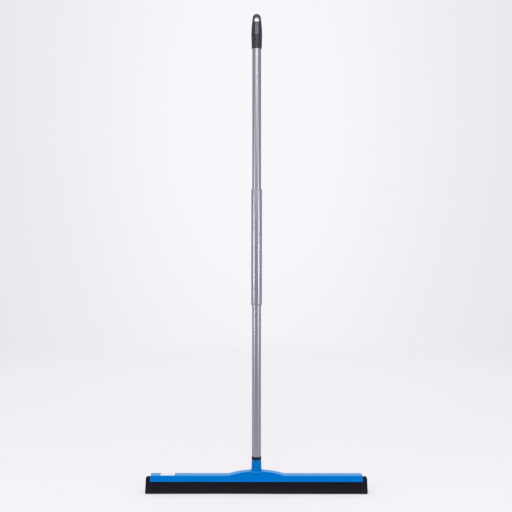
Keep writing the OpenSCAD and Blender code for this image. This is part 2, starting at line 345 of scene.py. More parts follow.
def dress_solid(node: str, finish: Finish) -> None:
    """Gives a solid of the frame a better finish.

    Args:
        node: Name of the solid.
        finish: Its new material.
    """
    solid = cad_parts[node]
    for place in solid.material_slots:
        place.material = finish
    LOG.info("%s: solid kept, %s", node, finish.name)


# Finishes


def linear(code: str) -> Colour:
    """Turns an sRGB hex value into linear colour.

    Args:
        code: The value, with its leading #.

    Returns:
        Red, green, blue and a full alpha.
    """
    parts = [int(code[i:i + 2], 16) / 255 for i in (1, 3, 5)]
    flat = [p / 12.92 if p <= 0.04045 else ((p + 0.055) / 1.055) ** 2.4 for p in parts]
    return (*flat, 1.0)


def add_node(tree: Tree, kind: str, inputs: dict[str | int, Any] | None = None,
             **settings: Any) -> bpy.types.Node:
    """Adds a node with its settings, values and links.

    Args:
        tree: The node tree.
        kind: Type name of the node, without its first word.
        inputs: Values or output sockets, by the name or number of the input.
        settings: Attributes of the node.

    Returns:
        The new node.
    """
    node = tree.nodes.new("ShaderNode" + kind)
    for key, value in settings.items():
        setattr(node, key, value)
    for key, value in (inputs or {}).items():
        if isinstance(value, Socket):
            tree.links.new(value, node.inputs[key])
        else:
            node.inputs[key].default_value = value
    return node


def new_finish(name: str) -> tuple[Finish, Tree]:
    """Starts an empty material.

    Args:
        name: Name of the material.

    Returns:
        The material and its node tree.
    """
    finish = bpy.data.materials.new(name)
    finish.use_nodes = True
    finish.node_tree.nodes.clear()
    return finish, finish.node_tree


@dataclass(frozen=True)
class Look:
    """A finish in two near shades, mixed by a pattern of its own."""

    name: str
    colour: str
    second_colour: str

    def make(self) -> Finish:
        """Builds the material.

        Returns:
            The finished material.
        """
        finish, tree = new_finish(self.name)
        coords = add_node(tree, "TexCoord").outputs
        surface = add_node(tree, "BsdfPrincipled", self.surface(tree, coords))
        add_node(tree, "OutputMaterial", {"Surface": surface.outputs[0]})
        return finish

    def surface(self, tree: Tree, coords: Outputs) -> Values:
        """Adds the pattern and returns the values and links of the surface."""
        raise NotImplementedError


@dataclass(frozen=True)
class MouldedPlastic(Look):
    """Injection moulded plastic: even colour, satin skin, faint flow marks."""

    roughness: float
    gloss: float
    shine_colour: str  # tint of the light that it throws back straight on
    top_highlight_colour: str  # painted highlight: lighter colour mixed in on faces that look up, standing in for light from above
    swing: float = 0.05  # how far the roughness swings with the streaks
    grain_mm: float = 0.5  # spark-eroded grit of the mould, drawn about twice too coarse
    grain_deep_mm: float = 0.06
    flow_mm: float = 45.0  # length of the faint streaks that the melt leaves
    top_highlight_slope: Point = (0.35, 0.9)  # upward lean of a face where the painted highlight starts and is full

    def surface(self, tree: Tree, coords: Outputs) -> Values:
        """Adds the streaks, the painted highlight on upper faces and the grit.

        Args:
            tree: The node tree.
            coords: Coordinates that the pattern follows.

        Returns:
            Values and links of the surface.
        """
        flow = add_node(tree, "TexNoise", {
            "Vector": coords["Object"], "Scale": 1 / (self.flow_mm * MM), "Detail": 3.0,
            "Roughness": 0.55}).outputs["Fac"]
        shade = add_node(tree, "Mix", {
            0: flow, 6: linear(self.colour), 7: linear(self.second_colour)}, data_type="RGBA")
        satin = add_node(tree, "MapRange", {
            "Value": flow, "From Min": MOST_NOISE[0], "From Max": MOST_NOISE[1],
            "To Min": self.roughness - self.swing, "To Max": self.roughness + self.swing})
        way = add_node(tree, "SeparateXYZ", {0: coords["Normal"]})
        # painted highlight: faces that look up are mixed towards a lighter colour, standing in for
        # light from above
        up = add_node(tree, "MapRange", {
            "Value": way.outputs["Z"], "From Min": self.top_highlight_slope[0],
            "From Max": self.top_highlight_slope[1], "To Min": 0.0, "To Max": 1.0})
        top_highlighted = add_node(tree, "Mix", {
            0: up.outputs["Result"], 6: shade.outputs[2], 7: linear(self.top_highlight_colour)},
            data_type="RGBA")
        grain = add_node(tree, "TexNoise", {
            "Vector": coords["Object"], "Scale": 1 / (self.grain_mm * MM), "Detail": 2.0})
        grit = add_node(tree, "Bump", {
            "Height": grain.outputs["Fac"], "Strength": 0.1, "Distance": self.grain_deep_mm * MM})
        return {
            "Base Color": top_highlighted.outputs[2], "Roughness": satin.outputs["Result"],
            "Normal": grit.outputs["Normal"], "IOR": 1.49,
            "Specular IOR Level": self.gloss, "Specular Tint": linear(self.shine_colour)}


@dataclass(frozen=True)
class CellularRubber(Look):
    """Closed-cell foam rubber, cut from sheet: matt black, pitted with small cells."""

    cell_mm: float = 1.1  # cut cells are about half this; coarser here so that they show
    cell_deep_mm: float = 0.3
    cell_rim: Point = (0.15, 0.75)  # distances from a cell's middle that its rim spans
    rub_mm: float = 14.0  # patches where the cut face has been rubbed greyer
    edge_mm: float = 16.0  # height above the floor below which the foam turns greyer towards its bottom edge

    def surface(self, tree: Tree, coords: Outputs) -> Values:
        """Adds the cells, greyer on rubbed patches and towards the working edge.

        Args:
            tree: The node tree.
            coords: Coordinates that the pattern follows.

        Returns:
            Values and links of the surface.
        """
        where = coords["Object"]
        cells = add_node(tree, "TexVoronoi", {
            "Vector": where, "Scale": 1 / (self.cell_mm * MM), "Smoothness": 0.35,
            "Randomness": 1.0}, feature="SMOOTH_F1").outputs["Distance"]
        rim = add_node(tree, "MapRange", {
            "Value": cells, "From Min": self.cell_rim[0], "From Max": self.cell_rim[1],
            "To Min": 0.0, "To Max": 0.6})
        rub = add_node(tree, "TexNoise", {
            "Vector": where, "Scale": 1 / (self.rub_mm * MM), "Detail": 4.0})
        patchy = add_node(tree, "Math", {
            0: rim.outputs["Result"], 1: rub.outputs["Fac"]}, operation="MULTIPLY")
        place = add_node(tree, "SeparateXYZ", {0: where})
        edge = add_node(tree, "MapRange", {
            "Value": place.outputs["Z"], "From Min": 0.0, "From Max": self.edge_mm * MM,
            "To Min": 0.45, "To Max": 0.0})
        grey = add_node(tree, "Math", {
            0: patchy.outputs["Value"], 1: edge.outputs["Result"]}, operation="ADD")
        shade = add_node(tree, "Mix", {
            0: grey.outputs["Value"], 6: linear(self.colour), 7: linear(self.second_colour)},
            data_type="RGBA")
        pits = add_node(tree, "Bump", {
            "Height": cells, "Strength": 0.55, "Distance": self.cell_deep_mm * MM})
        return {
            "Base Color": shade.outputs[2], "Normal": pits.outputs["Normal"],
            "Roughness": 0.82, "IOR": 1.5, "Specular IOR Level": 0.1}


@dataclass(frozen=True)
class SilverLacquer(Look):
    """Steel tube in silver flake lacquer: soft streaks of light, very fine sparkle."""

    roughness: float
    swing: float = 0.05  # how far the roughness swings with the drawing lines
    glance_colour: str = "#b4b4b8"  # tint of what it mirrors at a glancing angle
    flake_mm: float = 0.5  # flakes are some 0.05 mm; drawn coarser so that they show
    draw_mm: float = 1.2  # width of the faint drawing lines under the lacquer
    draw_deep_mm: float = 0.02
    draw_run: Place = (1.0, 1.0, 0.012)  # how much they are shrunk; they run up the tube

    def surface(self, tree: Tree, coords: Outputs) -> Values:
        """Adds the drawing lines and the flakes.

        Args:
            tree: The node tree.
            coords: Coordinates that the pattern follows.

        Returns:
            Values and links of the surface.
        """
        where = coords["Object"]
        along = add_node(tree, "Mapping", {"Vector": where, "Scale": self.draw_run})
        lines = add_node(tree, "TexNoise", {
            "Vector": along.outputs["Vector"], "Scale": 1 / (self.draw_mm * MM),
            "Detail": 3.0}).outputs["Fac"]
        flakes = add_node(tree, "TexVoronoi", {"Vector": where, "Scale": 1 / (self.flake_mm * MM)})
        shade = add_node(tree, "Mix", {
            0: flakes.outputs["Color"], 6: linear(self.colour), 7: linear(self.second_colour)},
            data_type="RGBA")
        satin = add_node(tree, "MapRange", {
            "Value": lines, "From Min": MOST_NOISE[0], "From Max": MOST_NOISE[1],
            "To Min": self.roughness - self.swing, "To Max": self.roughness + self.swing})
        relief = add_node(tree, "Bump", {
            "Height": lines, "Strength": 0.02, "Distance": self.draw_deep_mm * MM})
        return {
            "Base Color": shade.outputs[2], "Metallic": 0.9,
            "Roughness": satin.outputs["Result"], "Normal": relief.outputs["Normal"],
            "Specular Tint": linear(self.glance_colour)}


@dataclass(frozen=True)
class StickerFilm(Look):
    """Coated white paper sticker: smooth, with a faint mottle of fibres."""

    fibre_mm: float = 1.5  # clumps of fibres under the coating
    fibre_deep_mm: float = 0.03

    def surface(self, tree: Tree, coords: Outputs) -> Values:
        """Adds the mottle.

        Args:
            tree: The node tree.
            coords: Coordinates that the pattern follows.

        Returns:
            Values and links of the surface.
        """
        fibres = add_node(tree, "TexNoise", {
            "Vector": coords["Object"], "Scale": 1 / (self.fibre_mm * MM),
            "Detail": 5.0}).outputs["Fac"]
        shade = add_node(tree, "Mix", {
            0: fibres, 6: linear(self.colour), 7: linear(self.second_colour)}, data_type="RGBA")
        relief = add_node(tree, "Bump", {
            "Height": fibres, "Strength": 0.15, "Distance": self.fibre_deep_mm * MM})
        return {
            "Base Color": shade.outputs[2], "Roughness": 0.45, "IOR": 1.5,
            "Normal": relief.outputs["Normal"]}


@dataclass(frozen=True)
class ExtrudedPlastic(Look):
    """Extruded plastic: straight die lines along the run, dull sheen between them."""

    roughness: float
    run: Place  # how much the lines are shrunk along each axis
    line_mm: float = 1.0  # spacing of the lines left by the die
    line_deep_mm: float = 0.05

    def surface(self, tree: Tree, coords: Outputs) -> Values:
        """Adds the die lines.

        Args:
            tree: The node tree.
            coords: Coordinates that the pattern follows.

        Returns:
            Values and links of the surface.
        """
        along = add_node(tree, "Mapping", {"Vector": coords["Object"], "Scale": self.run})
        lines = add_node(tree, "TexNoise", {
            "Vector": along.outputs["Vector"], "Scale": 1 / (self.line_mm * MM),
            "Detail": 3.0}).outputs["Fac"]
        shade = add_node(tree, "Mix", {
            0: lines, 6: linear(self.colour), 7: linear(self.second_colour)}, data_type="RGBA")
        relief = add_node(tree, "Bump", {
            "Height": lines, "Strength": 0.3, "Distance": self.line_deep_mm * MM})
        return {
            "Base Color": shade.outputs[2], "Roughness": self.roughness, "IOR": 1.53,
            "Normal": relief.outputs["Normal"]}


@dataclass(frozen=True)
class RivetAluminium(Look):
    """Pressed aluminium: bright, softly scratched heads."""

    scratch_mm: float = 0.6  # spacing of the pressing marks
    roughness: Point = (0.25, 0.45)  # in the marks and between them

    def surface(self, tree: Tree, coords: Outputs) -> Values:
        """Adds the pressing marks.

        Args:
            tree: The node tree.
            coords: Coordinates that the pattern follows.

        Returns:
            Values and links of the surface.
        """
        marks = add_node(tree, "TexNoise", {
            "Vector": coords["Object"], "Scale": 1 / (self.scratch_mm * MM),
            "Detail": 4.0}).outputs["Fac"]
        shade = add_node(tree, "Mix", {
            0: marks, 6: linear(self.colour), 7: linear(self.second_colour)}, data_type="RGBA")
        dull = add_node(tree, "MapRange", {
            "Value": marks, "From Min": 0.0, "From Max": 1.0,
            "To Min": self.roughness[0], "To Max": self.roughness[1]})
        return {
            "Base Color": shade.outputs[2], "Metallic": 1.0, "Roughness": dull.outputs["Result"]}


# The head


@dataclass
class Head:
    """Blue moulded frame: open bar with rails, dome and threaded socket, and its sticker."""

    # Section of the bar
    length: float = 528.0
    low_z: float = 28.0
    top_z: float = 42.9
    top_half: float = 14.0
    low_half: float = 18.0
    wall: float = 2.2
    rail_z: float = 36.3
    slot_z: float = 37.9
    slot_top_z: float = 40.7
    rail_half: float = 6.5
    slot_half: float = 11.3
    rounds: Row = (1.5, 0.9, 0.7, 0.6, 0.3, 0.3, 0.3, 0.5)  # of its corners
    arc_steps: int = 5
    # Ends of the bar
    end_draft: float = 0.8
    end_round: float = 1.0
    outer_ease: float = 0.8  # rounding of the ends, below the radii of the outer corners
    inner_ease: float = 0.25  # the same in the channel, below the radii there
    side_places: Row = (230.0, 190.0, 150.0, 110.0, 80.0)
    # Dome and the hollow under it
    dome_half: float = 71.0
    dome_rise: float = 10.3
    foot_r: float = 12.0
    roof_gap: float = 0.2  # only what lies more than this above the slot is domed
    hollow_half: float = 9.0
    hollow_inset: float = 12.0  # how far it ends before the arcs of the dome's feet
    hollow_open: float = 0.2
    rib_half: float = 1.0
    rib_places: Row = (-46.0, -26.0, 26.0, 46.0)
    # Socket
    socket_top_z: float = 80.0
    socket_low_r: float = 12.6
    socket_top_r: float = 11.85
    socket_round: float = 0.7
    socket_foot_r: float = 15.6
    socket_foot: tuple[Place, ...] = (  # radius, height over the dome's crown, rounding
        (0, -9.4, 0), (14.4, -9.4, 0), (15.6, -2.4, 0), (15.6, 0, 0.5), (14.9, 0.1, 0),
        (14.2, 0.5, 0), (13.9, 1.2, 0), (13.55, 2.1, 0), (13.15, 3.2, 0), (12.8, 4.5, 0),
        (12.55, 6.0, 0))
    foot_drop: float = 2.6  # how far the foot's rim hangs lower at the front and back
    foot_fade: float = 6.0  # height over which it dies out
    # Bore and thread
    bore_r: float = 10.25
    bore_floor_z: float = 48.0
    bore_past: float = 2.0
    mouth_ease: float = 0.6
    boss_low_z: float = 45.5
    boss_high_z: float = 60.0
    ridge_crest: Point = (-9.05, 0.14)  # radius, opposite the plug's, and half width in pitches
    ridge_root: Point = (-10.65, 0.26)  # the same, rooted in the wall
    # Sticker
    label_place: Point = (-221.0, 0.0)
    label_size: Point = (36.0, 25.0)
    label_round: float = 2.0
    label_thick: float = 0.2
    label_edge: float = 0.13  # height above which its sides draw in
    label_ease: Point = (0.997, 0.996)

    @property
    def dome_r(self) -> float:
        """Radius of the dome's long arc."""
        return (self.dome_half ** 2 + self.dome_rise ** 2) / (2 * self.dome_rise) - self.foot_r

    @property
    def join(self) -> float:
        """Distance from the middle to where the long arc meets the arc of a foot."""
        return self.dome_half * self.dome_r / (self.dome_r + self.foot_r)

    @property
    def slope(self) -> float:
        """How far the skirts lean out for each millimetre down."""
        return (self.low_half - self.top_half) / (self.top_z - self.low_z)

    def rise(self, x: float, inset: float = 0.0) -> float:
        """Finds the height of the dome above the bar.

        Args:
            x: Place along the bar, from its middle.
            inset: How far the long arc is drawn in, for the roof of a hollow.

        Returns:
            The height in millimetres.
        """
        x = abs(x)
        if x >= self.dome_half:
            return 0.0
        if x > self.join:
            return self.foot_r - math.sqrt(self.foot_r ** 2 - (self.dome_half - x) ** 2)
        reach = self.dome_r - inset
        return self.dome_rise - self.dome_r + math.sqrt(reach ** 2 - x ** 2)

    def section(self) -> list[Point]:
        """Draws the bar's outline across its length.

        Returns:
            Its points, across and up, in millimetres.
        """
        high = self.low_half - self.wall - (self.rail_z - self.low_z) * self.slope
        corners = [
            (self.top_half, self.top_z), (self.low_half, self.low_z),
            (self.low_half - self.wall, self.low_z), (high, self.rail_z),
            (self.rail_half, self.rail_z), (self.rail_half, self.slot_z),
            (self.slot_half, self.slot_z), (self.slot_half, self.slot_top_z),
        ]
        right = [(y, z, r) for (y, z), r in zip(corners, self.rounds)]
        left = [(-y, z, r) for y, z, r in reversed(right)]
        return rounded(right + left, self.arc_steps)

    def places(self) -> list[float]:
        """Lists where the bar's outline is repeated.

        Returns:
            Places along the bar, from the left end to the right.
        """
        ends = end_places(self.length / 2, self.end_round, 18)
        feet = [self.dome_half - (self.dome_half - self.join) * k / 5 for k in range(6)]
        dome = [self.join * (1 - k / 24) for k in range(1, 24)]
        right = [*ends, *self.side_places, *feet, *dome]
        return [-x for x in right] + [0.0] + right[::-1]

    def build_bar(self) -> Piece:
        """Builds the bar with its dome, rounded and drafted ends and open channel.

        Returns:
            The closed bar.
        """
        points = self.section()
        piece = drawn_out("moulded_head", points, Plane.YZ, self.places())
        count, span = len(points), self.top_z - self.low_z
        outer = 2 * (self.arc_steps + 1)  # points on the two outer corners of a side
        ways: dict[tuple[int, int], Vector] = {}
        for i, (y, z) in enumerate(points):
            run = Vector(points[(i + 1) % count]) - Vector(points[i - 1])
            ease = self.outer_ease if min(i, count - 1 - i) < outer else self.inner_ease
            way = Vector((run.y, -run.x)).normalized() * ease
            ways[round(y * 1000), round(z * 1000)] = way

        def shape(p: Vector) -> Vector:
            """Gives a point of the straight bar its place on the moulding.

            Args:
                p: Place on the straight bar, in millimetres.

            Returns:
                Place on the moulding.
            """
            x, y, z = p
            deep = self.length / 2 - abs(x)
            if deep < self.end_round + HAIR:
                shrink = drawn_in(deep, self.end_round)
                way = ways[round(y * 1000), round(z * 1000)]
                y, z = y + way.x * shrink, z + way.y * shrink
                x -= math.copysign(self.end_draft * (z - self.low_z) / span, x)
            if z > self.slot_top_z + self.roof_gap:
                lift = self.rise(x)
                y, z = y - math.copysign(self.slope * lift, y), z + lift
            return Vector((x, y, z))

        nudge(piece, shape)
        close_up(piece)
        return piece

    def build_socket(self) -> Piece:
        """Builds the socket with its rounded mouth and a foot that runs out in the dome.

        Returns:
            The socket, not yet bored.
        """
        crown, top = self.top_z + self.dome_rise, self.socket_top_z
        piece = turned("socket", rounded([
            *[(r, crown + h, ease) for r, h, ease in self.socket_foot],
            (self.socket_top_r, top, self.socket_round), (0, top, 0)], 7))

        def hang(p: Vector) -> Vector:
            """Lets the foot hang over the front and back of the dome.

            Args:
                p: Place on the round socket, in millimetres.

            Returns:
                The lowered place.
            """
            near = max(0.0, 1 - abs(p.z - crown) / self.foot_fade)
            drop = self.foot_drop * near * (p.y / self.socket_foot_r) ** 2
            return Vector((p.x, p.y, p.z - drop))

        nudge(piece, hang)
        return piece

    def build_bore(self) -> Piece:
        """Builds the space of the threaded bore, widened at its mouth.

        Returns:
            The solid to cut away.
        """
        mouth, top = self.bore_r + self.mouth_ease, self.socket_top_z
        return turned("bore", [
            (0, self.bore_floor_z), (self.bore_r, self.bore_floor_z),
            (self.bore_r, top - self.mouth_ease), (mouth, top + HAIR),
            (mouth, top + self.bore_past), (0, top + self.bore_past)])

    def build_hollows(self) -> Piece:
        """Builds the spaces under the dome, between its ribs and round the boss.

        Returns:
            The solids to cut away, as one piece.
        """
        reach = self.join - self.hollow_inset
        edges = [-reach, *self.rib_places, reach]
        floor = self.slot_top_z - self.hollow_open
        hollows = []
        for k, (a, b) in enumerate(zip(edges, edges[1:])):
            a += self.rib_half if k else 0
            b -= self.rib_half if k < len(edges) - 2 else 0
            xs = [a + (b - a) * i / 12 for i in range(13)]
            roof = [(x, self.top_z + self.rise(x, self.wall)) for x in xs]
            space = drawn_out("hollow", [(b, floor), (a, floor), *roof], Plane.XZ,
                              [-self.hollow_half, self.hollow_half])
            if a < 0 < b:
                low, high, r = self.boss_low_z, self.boss_high_z, self.socket_low_r
                combine(space, turned("boss", [(0, low), (r, low), (r, high), (0, high)]),
                        Join.CUT)
            hollows.append(space)
        return together(hollows)

    def build_label(self) -> Piece:
        """Builds the bare sticker with its rounded corners, pressed on the bar's top.

        Returns:
            The sticker.
        """
        (x, y), (w, d) = self.label_place, (s / 2 for s in self.label_size)
        r, low, edge = self.label_round, self.top_z, self.top_z + self.label_edge
        piece = drawn_out("bare_sticker", rounded([
            (x - w, y - d, r), (x + w, y - d, r), (x + w, y + d, r), (x - w, y + d, r),
        ], 6), Plane.XY, [low, edge, low + self.label_thick])

        def ease(p: Vector) -> Vector:
            """Draws the top edge in a little.

            Args:
                p: Place on the sticker, in millimetres.

            Returns:
                The place, drawn in at the top.
            """
            if p.z < edge + HAIR:
                return p
            return Vector((x + (p.x - x) * self.label_ease[0],
                           y + (p.y - y) * self.label_ease[1], p.z))

        nudge(piece, ease)
        return piece

    def build(self, blue: Finish, film: Finish) -> None:
        """Builds the frame and its sticker and sets them up.

        Args:
            blue: Finish of the frame.
            film: Finish of the sticker.
        """
        piece = self.build_bar()
        combine(piece, self.build_socket(), Join.ADD)
        combine(piece, self.build_hollows(), Join.CUT)
        combine(piece, self.build_bore(), Join.CUT)
        combine(piece, thread_ridge(self.ridge_crest, self.ridge_root), Join.ADD)
        close_up(piece)
        set_up(piece, 30, Body.HEAD, "head_frame", blue)
        set_up(self.build_label(), 40, Body.HEAD, "blank_label", film)


# The strips


@dataclass
class BladePack:
    """Two foam strips that lean apart, on their carrier with its rivets."""

    length: float = 550.0
    thick: float = 8.0
    top_z: float = 36.0
    inner_top: float = 2.0
    lean: float = 14.0
    rows: Row = (6.0, 12.0, 18.0, 24.0)
    run_steps: int = 90
    edge_round: float = 0.6
    floor_round: float = 0.15
    corner_round: float = 3.2
    corner_fade: float = 8.0  # height where that rounding dies out
    free_z: float = 26.0  # height below which the foam hangs free; the sway, sag and ripple grow below it
    sway: float = 1.1
    sag: float = 0.2
    ripple: float = 0.3
    waves: Place = (175.0, 70.0, 17.5)  # how slowly the middle, the sway and the ripple run
    rivet_z: float = 32.0
    rivet_pitch: float = 82.4
    rivet_count: int = 7
    pocket_r: float = 2.7
    pocket_seat: float = 8.883
    pocket_start: float = -30.0

    def section(self) -> list[Point]:
        """Draws the front strip's outline across its length.

        Returns:
            Its points, across and up, in millimetres.
        """
        low, high = self.inner_top + self.lean, -self.inner_top
        outer = [(-low - self.thick + self.lean * z / self.top_z, z, 0) for z in self.rows]
        inner = [(y + self.thick, z, 0) for y, z, _ in reversed(outer)]
        return rounded([
            (-low - self.thick, 0, self.floor_round), *outer,
            (high - self.thick, self.top_z, self.edge_round),
            (high, self.top_z, self.edge_round), *inner, (-low, 0, self.floor_round),
        ], 4)

    def places(self) -> list[float]:
        """Lists where the strip's outline is repeated.

        Returns:
            Places along the strip, from the left end to the right.
        """
        ends, steps = end_places(self.length / 2, self.corner_round, 15), self.run_steps
        run = [ends[-1] * (1 - 2 * k / steps) for k in range(1, steps)]
        return [-x for x in ends] + [-x for x in run] + ends[::-1]

    def build_pockets(self) -> Piece:
        """Builds the spaces that the rivets' heads sink into.

        Returns:
            The solids to cut away, as one piece.
        """
        middles = [(i - (self.rivet_count - 1) / 2) * self.rivet_pitch
                   for i in range(self.rivet_count)]
        return together([
            drawn_out("pocket", arc(x, self.rivet_z, self.pocket_r, range(0, 360, 15)),
                      Plane.XZ, [self.pocket_start, -self.pocket_seat]) for x in middles])

    def build_strip(self, name: str, phase: float, side: int) -> Piece:
        """Builds one strip, a little wavy along its free edge and with rivet pockets.

        Args:
            name: Name of the piece.
            phase: Shift of the waves, in radians.
            side: 1 for the front strip, -1 for the rear one.

        Returns:
            The finished strip.
        """
        piece = drawn_out(name, self.section(), Plane.YZ, self.places())
        middle = self.inner_top + self.thick / 2
        slow, medium, quick = self.waves

        def shape(p: Vector) -> Vector:
            """Gives a point of the straight strip its place on the soft one.

            Args:
                p: Place on the straight strip, in millimetres.

            Returns:
                Place on the soft strip.
            """
            x, y, z = p
            deep = self.length / 2 - abs(x)
            free = max(0.0, 1 - z / self.free_z) ** 1.5
            if deep < self.edge_round:
                shrink = drawn_in(deep, self.edge_round)
                centre = -middle - (self.top_z - z) * self.lean / self.top_z
                y = centre + (y - centre) * (1 - shrink / (self.thick / 2))
                z = min(z, self.top_z - shrink)
            if deep < self.corner_round:
                z += drawn_in(deep, self.corner_round) * max(0.0, 1 - z / self.corner_fade)
            bend = 0.55 - 0.45 * math.sin(x / medium + phase - 0.9)
            slack = max(0.0, math.cos(x / slow)) * bend
            wave = 0.5 + 0.5 * math.sin(x / quick + phase)
            y += free * (self.sway * slack + self.ripple * wave)
            z += free * self.sag * slack
            return Vector((x, y, z))

        nudge(piece, shape)
        combine(piece, self.build_pockets(), Join.CUT)
        if side < 0:
            nudge(piece, lambda p: Vector((p.x, -p.y, p.z)))
        close_up(piece)
        return piece

    def build(self, foam: Finish, carrier: Finish, rivet: Finish) -> None:
        """Builds both strips and dresses the carrier and rivets.

        Args:
            foam: Finish of the strips.
            carrier: Finish of the carrier.
            rivet: Finish of the rivets.
        """
        for name, node, phase, side in (
            ("front_foam_strip", "front_blade", 0.9, 1),
            ("rear_foam_strip", "rear_blade", 2.3, -1),
        ):
            strip = self.build_strip(name, phase, side)
            set_up(strip, 40, Body.BLADES, node, foam)
        dress_solid("blade_carrier", carrier)
        dress_solid("blade_rivets", rivet)


# The handle


@dataclass
class Handle:
    """Two silver tubes, the sleeve that joins them, the threaded plug and its stop ring."""

    tube_r: float = 11.0
    tube_wall: float = 0.5
    tube_ease: float = 0.15
    round_steps: int = 120
    stop_low_z: float = 607.7
    stop_top_z: float = 611.7
    upper_end_z: float = 1138.2
    lower_stops: Row = (300.0,)  # rings of points in the wall
    upper_stops: Row = (760.0, 900.0, 1040.0)
    ring_low_z: float = 80.0
    ring_top_z: float = 88.2
    ring_r: float = 11.9
    ring_in_r: float = 10.25
    sleeve_low_z: float = 464.7
    sleeve_top_z: float = 754.7
    sleeve_r: float = 13.25
    sleeve_wall: float = 0.8
    roll_r: float = 1.95
    punch_places: Point = (97.7, 112.7)
    punch_reach: float = 2.4
    punch_depth: float = 0.9
    punch_margin: float = 3.2  # how far fine rings of points reach past the marks
    punch_step: float = 0.4
    plug_low_z: float = 50.0
    plug_top_z: float = 133.2
    plug_gap: float = 0.05
    plug_bore_r: float = 6.0
    plug_floor_z: float = 56.0
    neck_r: float = 10.1
    neck_gap: float = 0.3
    core_r: float = 8.8
    ridge_root: Point = (8.3, 0.3)  # radius, rooted in the core, and half width in pitches
    ridge_crest: Point = (10.0, 0.16)

    def tube_section(self, low: float, high: float, stops: Sequence[float]) -> list[Point]:
        """Draws the half section of a tube with broken edges.

        Args:
            low: Height of its lower end.
            high: Height of its upper end.
            stops: Heights between them where the wall gets a ring of points.

        Returns:
            Radius and height of its points, in millimetres.
        """
        r, inner, ease = self.tube_r, self.tube_r - self.tube_wall, self.tube_ease
        inside = [(inner, z) for z in reversed(stops)]
        return [(r - ease, low), (r, low + ease), *[(r, z) for z in stops], (r, high - ease),
                (r - ease, high), (inner + ease, high), (inner, high - ease), *inside,
                (inner, low + ease), (inner + ease, low)]

    def build_lower_tube(self) -> Piece:
        """Builds the lower tube with the two punch marks that hold the plug.

        Returns:
            The tube.
        """
        low = self.punch_places[0] - self.punch_margin
        high = self.punch_places[1] + self.punch_margin
        fine = int((high - low) / self.punch_step)
        stops = [low + (high - low) * k / fine for k in range(fine + 1)] + [*self.lower_stops]
        section = self.tube_section(self.ring_top_z, self.stop_low_z, stops)
        piece = turned("lower_silver_tube", section, self.round_steps)

        def punch(p: Vector) -> Vector:
            """Presses the marks into the front and back of the wall.

            Args:
                p: Place on the round tube, in millimetres.

            Returns:
                The pressed place.
            """
            out = math.hypot(p.x, p.y)
            deep = 0.0
            for z in self.punch_places:
                away = math.hypot(p.x, p.z - z) / self.punch_reach
                if away < 1:
                    deep = max(deep, self.punch_depth * (1 - away ** 2) ** 2)
            return Vector((p.x * (out - deep) / out, p.y * (out - deep) / out, p.z))

        nudge(piece, punch)
        return piece

    def build_sleeve(self) -> Piece:
        """Builds the wide sleeve, its ends rolled in against the tubes.

        Returns:
            The sleeve.
        """
        roll, lip = self.roll_r, self.sleeve_r - self.roll_r
        low, high = self.sleeve_low_z + roll, self.sleeve_top_z - roll
        lower, upper, fine = range(-90, 1, 10), range(0, 91, 10), roll - self.sleeve_wall
        outer = arc(lip, low, roll, lower) + arc(lip, high, roll, upper)
        inner = arc(lip, high, fine, upper[::-1]) + arc(lip, low, fine, lower[::-1])
        return turned("joining_sleeve", outer + inner, self.round_steps)

    def build_ring(self) -> Piece:
        """Builds the stop ring between socket and tube.

        Returns:
            The ring.
        """
        return turned("stop_ring_moulding", rounded([
            (self.ring_in_r, self.ring_low_z, 0.3), (self.ring_r, self.ring_low_z, 0.6),
            (self.ring_r, self.ring_top_z, 0.9), (self.ring_in_r, self.ring_top_z, 0.3),
        ], 5))

    def build_plug(self) -> Piece:
        """Builds the plug: screw thread below, neck in the ring, body in the tube.

        Returns:
            The plug.
        """
        body = self.tube_r - self.tube_wall - self.plug_gap
        neck, bore, step = self.neck_r, self.plug_bore_r, self.ring_low_z + self.neck_gap
        piece = turned("threaded_plug", rounded([
            (0, self.plug_low_z, 0), (self.core_r, self.plug_low_z, 1.2),
            (self.core_r, step, 0), (neck, step, 0.3), (neck, self.ring_top_z, 0),
            (body, self.ring_top_z, 0), (body, self.plug_top_z, 1.0),
            (bore, self.plug_top_z, 0.3), (bore, self.plug_floor_z, 1.0),
            (0, self.plug_floor_z, 0),
        ], 4))
        combine(piece, thread_ridge(self.ridge_root, self.ridge_crest), Join.ADD)
        close_up(piece)
        return piece

    def build(self, silver: Finish, black: Finish, liner: Finish) -> None:
        """Builds the tubes, sleeve, ring and plug and dresses the liner.

        Args:
            silver: Finish of tubes and sleeve.
            black: Finish of plug and ring.
            liner: Finish of the liner.
        """
        section = self.tube_section(self.stop_top_z, self.upper_end_z, self.upper_stops)
        upper = turned("upper_silver_tube", section, self.round_steps)
        set_up(self.build_ring(), 40, Body.RING, "stop_ring", black)
        set_up(self.build_plug(), 30, Body.LOWER, "thread_plug", black)
        set_up(self.build_lower_tube(), 40, Body.LOWER, "lower_tube", silver)
        set_up(self.build_sleeve(), 40, Body.LOWER, "coupling_sleeve", silver)
        set_up(upper, 40, Body.UPPER, "upper_tube", silver)
        dress_solid("coupling_liner", liner)


